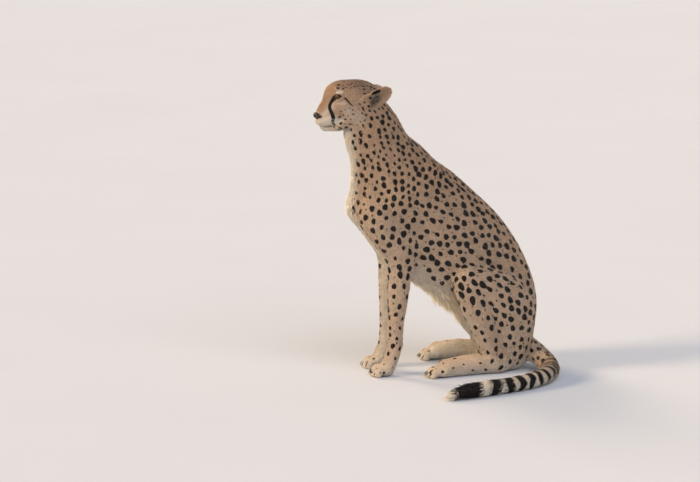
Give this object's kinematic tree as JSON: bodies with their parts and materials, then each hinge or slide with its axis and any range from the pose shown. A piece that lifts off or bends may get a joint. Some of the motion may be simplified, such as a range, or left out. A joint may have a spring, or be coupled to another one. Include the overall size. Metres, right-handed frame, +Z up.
{
  "type": "sitting cheetah model",
  "caption": "Life-size still model of a cheetah that sits upright, its forelegs straight, its haunches on the floor and its ringed tail curled forward beside it.",
  "frame": {"origin": "on the floor, under the middle of the box round the whole model", "axes": "+Z up; the animal faces -X, and its left side is towards -Y, where the tail lies"},
  "size_m": [0.819, 0.6774, 1.0177],
  "materials": {
    "coat": "short, dense fur: tawny above and cream below, with solid black spots, a ringed tail and black tear marks",
    "nose": "moist, finely pebbled black skin",
    "eye": "clear wet cornea over an amber-brown iris with a round pupil",
    "claw": "smooth dark horn"
  },
  "bodies": {
    "root": {"head": "coat", "neck": "coat", "trunk": "coat", "tail_base": "coat", "tail_middle": "coat", "tail_end": "coat", "nose": "nose", "ear_left": "coat", "eye_left": "eye", "foreleg_left": "coat", "forepaw_left": "coat", "haunch_left": "coat", "hind_foot_left": "coat", "ear_right": "coat", "eye_right": "eye", "foreleg_right": "coat", "forepaw_right": "coat", "haunch_right": "coat", "hind_foot_right": "coat", "claw_forepaw_left_1": "claw", "claw_forepaw_left_2": "claw", "claw_forepaw_left_3": "claw", "claw_forepaw_left_4": "claw", "claw_forepaw_right_1": "claw", "claw_forepaw_right_2": "claw", "claw_forepaw_right_3": "claw", "claw_forepaw_right_4": "claw", "claw_hind_foot_left_1": "claw", "claw_hind_foot_left_2": "claw", "claw_hind_foot_left_3": "claw", "claw_hind_foot_left_4": "claw", "claw_hind_foot_right_1": "claw", "claw_hind_foot_right_2": "claw", "claw_hind_foot_right_3": "claw", "claw_hind_foot_right_4": "claw"}
  },
  "joints": []
}
